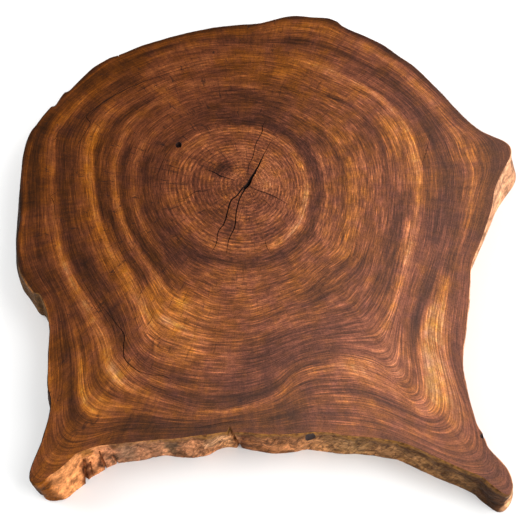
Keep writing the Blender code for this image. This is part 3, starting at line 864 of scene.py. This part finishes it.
def cleft(name, half_width, depth, turn, ends, collection):
    """An upright wedge whose keel points into the wood."""
    bm = bmesh.new()
    turned = Matrix.Rotation(math.radians(turn), 2)
    profile = [turned @ Vector(corner) for corner in (
        (-half_width, -2 * depth), (-half_width, 0), (0, depth), (half_width, 0), (half_width, -2 * depth))]
    (low_x, low_y, low), (top_x, top_y, top) = ends
    foot = [bm.verts.new(to_frame(low_x + corner.x, low_y + corner.y, low)) for corner in profile]
    face = bm.faces.new(foot)
    grown = bmesh.ops.extrude_face_region(bm, geom=[face])["geom"]
    bmesh.ops.translate(bm, verts=made_of(bmesh.types.BMVert, grown),
                        vec=Vector((top_x - low_x, top_y - low_y, top - low)) * MM)
    bmesh.ops.recalc_face_normals(bm, faces=bm.faces)
    return mesh_object(name, bm, collection)


def slice_face(bm, face, step):
    """Cuts one flat face into squares, first across X and then across Y."""
    material = face.material_index
    pieces = [face]
    for axis in (0, 1):
        waiting, done = pieces, []
        low = min(v.co[axis] for part in waiting for v in part.verts)
        high = max(v.co[axis] for part in waiting for v in part.verts)
        count = max(int((high - low) / step), 1)
        normal = Vector((1, 0, 0)) if axis == 0 else Vector((0, 1, 0))
        for k in range(1, count):
            at = low + (high - low) * k / count
            # Dictionaries, because a set would put them in another order each run.
            edges = dict.fromkeys(edge for part in waiting for edge in part.edges)
            verts = dict.fromkeys(vert for part in waiting for vert in part.verts)
            cut = bmesh.ops.bisect_plane(bm, geom=list(verts) + list(edges) + waiting, dist=1e-7,
                                         plane_co=normal * at, plane_no=normal)
            waiting = []
            for part in made_of(bmesh.types.BMFace, cut["geom"]):
                part.material_index = material
                (waiting if part.calc_center_median()[axis] > at else done).append(part)
        pieces = done + waiting


def slab_blank(sizes, collection):
    """The slab before it dried: rows of faces up the tree's edge, closed by the two sawn faces."""
    line = even_rim(sizes.rim_steps)
    out = outward(line)
    way = np.arange(len(line)) / len(line)
    depth = round_the_rim(EDGE_RELIEF, way)[:, 0]
    rim_ease, foot_ease = sizes.rim_ease / MM, sizes.foot_ease / MM
    rows = [(0.0, foot_ease), (0.35 * foot_ease, 0.35 * foot_ease), (1.3 * foot_ease, 0.0)]
    count = round((THICKNESS - 4) * MM / sizes.row_height)
    rows += [(2 + (THICKNESS - 4) * k / count, 0.0) for k in range(1, count + 1)]
    rows += [(THICKNESS - 0.35 * rim_ease, 0.3 * rim_ease), (THICKNESS, rim_ease)]
    bm = bmesh.new()
    ring = bmesh.ops.create_circle(bm, segments=len(line), radius=1.0)["verts"]
    foot = ring
    for number, (height, ease) in enumerate(rows):
        if number:
            grown = bmesh.ops.extrude_edge_only(bm, edges=ring_edges(bm, ring))["geom"]
            sides = set(made_of(bmesh.types.BMFace, grown))
            fresh = []
            for vert in ring:
                up = next(e for e in vert.link_edges if e.other_vert(vert) not in ring_set and any(
                    face in sides for face in e.link_faces))
                fresh.append(up.other_vert(vert))
            ring = fresh
        ring_set = set(ring)
        spread = line[:, 2] * (1 - height / THICKNESS)**FLARE_POWER + flutes(way, height) - ease
        held = math.sin(math.pi * min(max(height / THICKNESS, 0.04), 0.96))**0.5
        for k, vert in enumerate(ring):
            x, y = line[k, :2] + out[k] * spread[k]
            back = edge_relief(x, y, height, depth[k] * held)
            vert.co = to_frame(x + out[k, 0] * back, y + out[k, 1] * back, height)
    for face in bm.faces:
        face.material_index = SURFACES.index(WALL)
        face.smooth = True
    for loop, surface, step in ((foot, UNDER, sizes.under_step), (ring, UPPER, sizes.face_step)):
        made = bmesh.ops.contextual_create(bm, geom=ring_edges(bm, loop))["faces"]
        made[0].material_index = SURFACES.index(surface)
        slice_face(bm, made[0], step)
    bmesh.ops.recalc_face_normals(bm, faces=bm.faces)
    return mesh_object("slab_blank", bm, collection)


def paint(mesh):
    """Stores what the finishes read at each point: growth line, figure, hue, bark left and edge tint, the
    last with its painted light and shade.
    """
    places = np.empty(len(mesh.vertices) * 3)
    mesh.vertices.foreach_get("co", places)
    places = places.reshape(-1, 3) / MM
    x, y, z = places[:, 0] - PITH[0], places[:, 1] - PITH[1], places[:, 2]
    line = growth(x, y, z)
    tone = figure_tone(x, y, line)
    hue = np.tanh(banded(HUES, x, y, line))
    # Without a seed, noise_vector draws another offset each run.
    noise.seed_set(TINT_DRIFT_SEED)
    drift = TINT_DRIFT * np.array([noise.noise_vector(Vector(place / TINT_DRIFT_SIZE)) for place in places])
    strayed_x, strayed_y, strayed_z = x + drift[:, 0], y + drift[:, 1], z + drift[:, 2]
    way = way_round(strayed_x, strayed_y)
    tints = round_the_rim([(at_x, at_y, *linear(code)) for at_x, at_y, code in EDGE_TINTS], way)
    for at_x, at_y, at_z, half_width, half_height, code, strength in EDGE_SCARS:
        apart = np.hypot(strayed_x - at_x, (strayed_y - at_y) / 3) / half_width
        weight = strength * np.exp(-apart**4 - ((strayed_z - at_z) / half_height)**4)[:, None]
        tints = tints * (1 - weight) + np.array(linear(code)) * weight
    left = round_the_rim(EDGE_RELIEF, way)[:, 1]
    for name, kind, values in (
            ("growth", "FLOAT", line), ("figure", "FLOAT", tone), ("hue", "FLOAT", hue),
            ("bark_left", "FLOAT", left), ("edge_tint", "FLOAT_COLOR", tints)):
        attribute = mesh.attributes.new(name, kind, "POINT")
        slot = "color" if kind == "FLOAT_COLOR" else "value"
        attribute.data.foreach_set(slot, values.astype(np.float32).ravel())


def keep_inside(mesh, box):
    """Moves any point that the edge's relief put past the CAD solid's box back to it."""
    places = np.empty(len(mesh.vertices) * 3, np.float32)
    mesh.vertices.foreach_get("co", places)
    places = np.clip(places.reshape(-1, 3), np.array(box[0], np.float32), np.array(box[1], np.float32))
    mesh.vertices.foreach_set("co", places.ravel())
    mesh.update()


class SAPELE_OT_slab(bpy.types.Operator):
    """Model the slab and finish its faces, its edge and its checks"""

    bl_idname = "sapele.slab"
    bl_label = "Sapele slab"

    def execute(self, context):
        sizes, finish = context.scene.slab_sizes, context.scene.slab_finish
        makers = {
            UPPER: lambda: end_grain(UPPER, finish, 1.0, 0.0, finish.gloss),
            WALL: lambda: live_edge(WALL, finish),
            UNDER: lambda: end_grain(UNDER, finish, 0.6, 0.5, 0.75),
            CHECK: lambda: check_wood(CHECK, finish),
        }
        materials = [makers[surface]() for surface in SURFACES]
        scratch = bpy.data.collections.new("cutters")
        context.scene.collection.children.link(scratch)
        blank = slab_blank(sizes, context.scene.collection)
        for number, (depth, stations) in enumerate(CHECKS):
            blade(f"check_{number}", depth, stations, THICKNESS, -1, scratch)
            if number in CHECKS_BELOW:
                narrowed = [(x, y, width * WIDTH_BELOW) for x, y, width in stations]
                blade(f"check_below_{number}", depth * DEPTH_BELOW, narrowed, 0.0, 1, scratch)
        for number, points in enumerate(HAIRLINES):
            widths = np.sin(np.linspace(0.15, math.pi - 0.15, len(points))) * HAIRLINE_WIDTH
            stations = [(x, y, width) for (x, y), width in zip(points, widths)]
            blade(f"hairline_{number}", HAIRLINE_DEPTH, stations, THICKNESS, -1, scratch)
        for number, values in enumerate(POCKETS):
            pocket(f"pocket_{number}", *values, scratch)
        for number, values in enumerate(CLEFTS):
            cleft(f"cleft_{number}", *values, scratch)
        for cutter in scratch.objects:
            surface = WALL if cutter.name.startswith("cleft") else CHECK
            for face in cutter.data.polygons:
                face.material_index = SURFACES.index(surface)
        for made in (*scratch.objects, blank):
            for material in materials:
                made.data.materials.append(material)
        dried = blank.modifiers.new("dried", "BOOLEAN")
        dried.operation = "DIFFERENCE"
        dried.operand_type = "COLLECTION"
        dried.collection = scratch
        dried.solver = "MANIFOLD"
        graph = context.evaluated_depsgraph_get()
        mesh = bpy.data.meshes.new_from_object(blank.evaluated_get(graph))
        if len(mesh.polygons) <= len(blank.data.polygons):
            raise RuntimeError("the checks cut nothing from the slab")
        for cutter in list(scratch.objects):
            bpy.data.objects.remove(cutter, do_unlink=True)
        bpy.data.collections.remove(scratch)
        bpy.data.objects.remove(blank, do_unlink=True)
        keep_inside(mesh, NODE_BOX)
        paint(mesh)
        mesh.set_sharp_from_angle(angle=math.radians(SHARP_ANGLE))
        slab = bpy.data.objects.new("sapele_slab_visual", mesh)
        context.scene.collection.objects.link(slab)
        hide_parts(NODE)
        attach(slab, "root")
        return {"FINISHED"}


class SAPELE_OT_stage(bpy.types.Operator):
    """Make the floor, the lights and the camera"""

    bl_idname = "sapele.stage"
    bl_label = "Stage"

    def execute(self, context):
        settings = context.scene.stage_settings
        scene = context.scene
        bm = bmesh.new()
        bmesh.ops.create_grid(bm, x_segments=2, y_segments=2, size=FLOOR_HALF)
        floor = mesh_object("floor", bm, scene.collection)
        material, _, finish_with = new_material("matt_white_paint")
        finish_with({"Base Color": linear("#f4f3f1"), "Roughness": 0.9})
        floor.data.materials.append(material)

        target = to_frame(*CAMERA_TARGET, THICKNESS)
        back = Vector((0.0, -math.cos(settings.elevation), math.sin(settings.elevation)))
        camera = bpy.data.objects.new("camera", bpy.data.cameras.new("camera"))
        camera.data.lens = settings.lens
        camera.location = target + back * settings.distance
        camera.rotation_euler = (-back).to_track_quat("-Z", "Y").to_euler()
        scene.collection.objects.link(camera)
        scene.camera = camera

        for name, power, size, at in (
                ("key", settings.key, 1.8, (2.6, -1.6, 1.8)),
                ("fill", settings.fill, 2.4, (-2.8, 0.8, 2.2)),
                ("sheen", settings.sheen, 1.4, (1.3, 0.15, 2.7))):
            lamp = bpy.data.lights.new(name, "AREA")
            lamp.energy = power
            lamp.size = size
            light = bpy.data.objects.new(name, lamp)
            light.location = at
            light.rotation_euler = (Vector(at) - target).to_track_quat("Z", "Y").to_euler()
            scene.collection.objects.link(light)
        world = bpy.data.worlds.new("studio")
        world.use_nodes = True
        world.node_tree.nodes["Background"].inputs["Color"].default_value = linear("#f3f5f8")
        world.node_tree.nodes["Background"].inputs["Strength"].default_value = settings.sky
        scene.world = world
        scene.view_settings.view_transform = "Standard"
        return {"FINISHED"}


class SAPELE_PT_slab(bpy.types.Panel):
    """The slab's pieces and settings"""

    bl_label = "Sapele slab"
    bl_space_type = "VIEW_3D"
    bl_region_type = "UI"
    bl_category = "Sapele slab"

    def draw(self, context):
        for operator in (SAPELE_OT_stage, SAPELE_OT_slab):
            self.layout.operator(operator.bl_idname)
        for settings in (context.scene.slab_sizes, context.scene.slab_finish, context.scene.stage_settings):
            for name in settings.__annotations__:
                self.layout.prop(settings, name)


CLASSES = (SlabSizes, SlabFinish, StageSettings, SAPELE_OT_slab, SAPELE_OT_stage, SAPELE_PT_slab)


def register():
    for cls in CLASSES:
        bpy.utils.register_class(cls)
    bpy.types.Scene.slab_sizes = PointerProperty(type=SlabSizes)
    bpy.types.Scene.slab_finish = PointerProperty(type=SlabFinish)
    bpy.types.Scene.stage_settings = PointerProperty(type=StageSettings)


def unregister():
    for name in ("slab_sizes", "slab_finish", "stage_settings"):
        delattr(bpy.types.Scene, name)
    for cls in reversed(CLASSES):
        bpy.utils.unregister_class(cls)


def main():
    register()
    bpy.ops.sapele.stage()
    bpy.ops.sapele.slab()


if __name__ == "__main__":
    main()
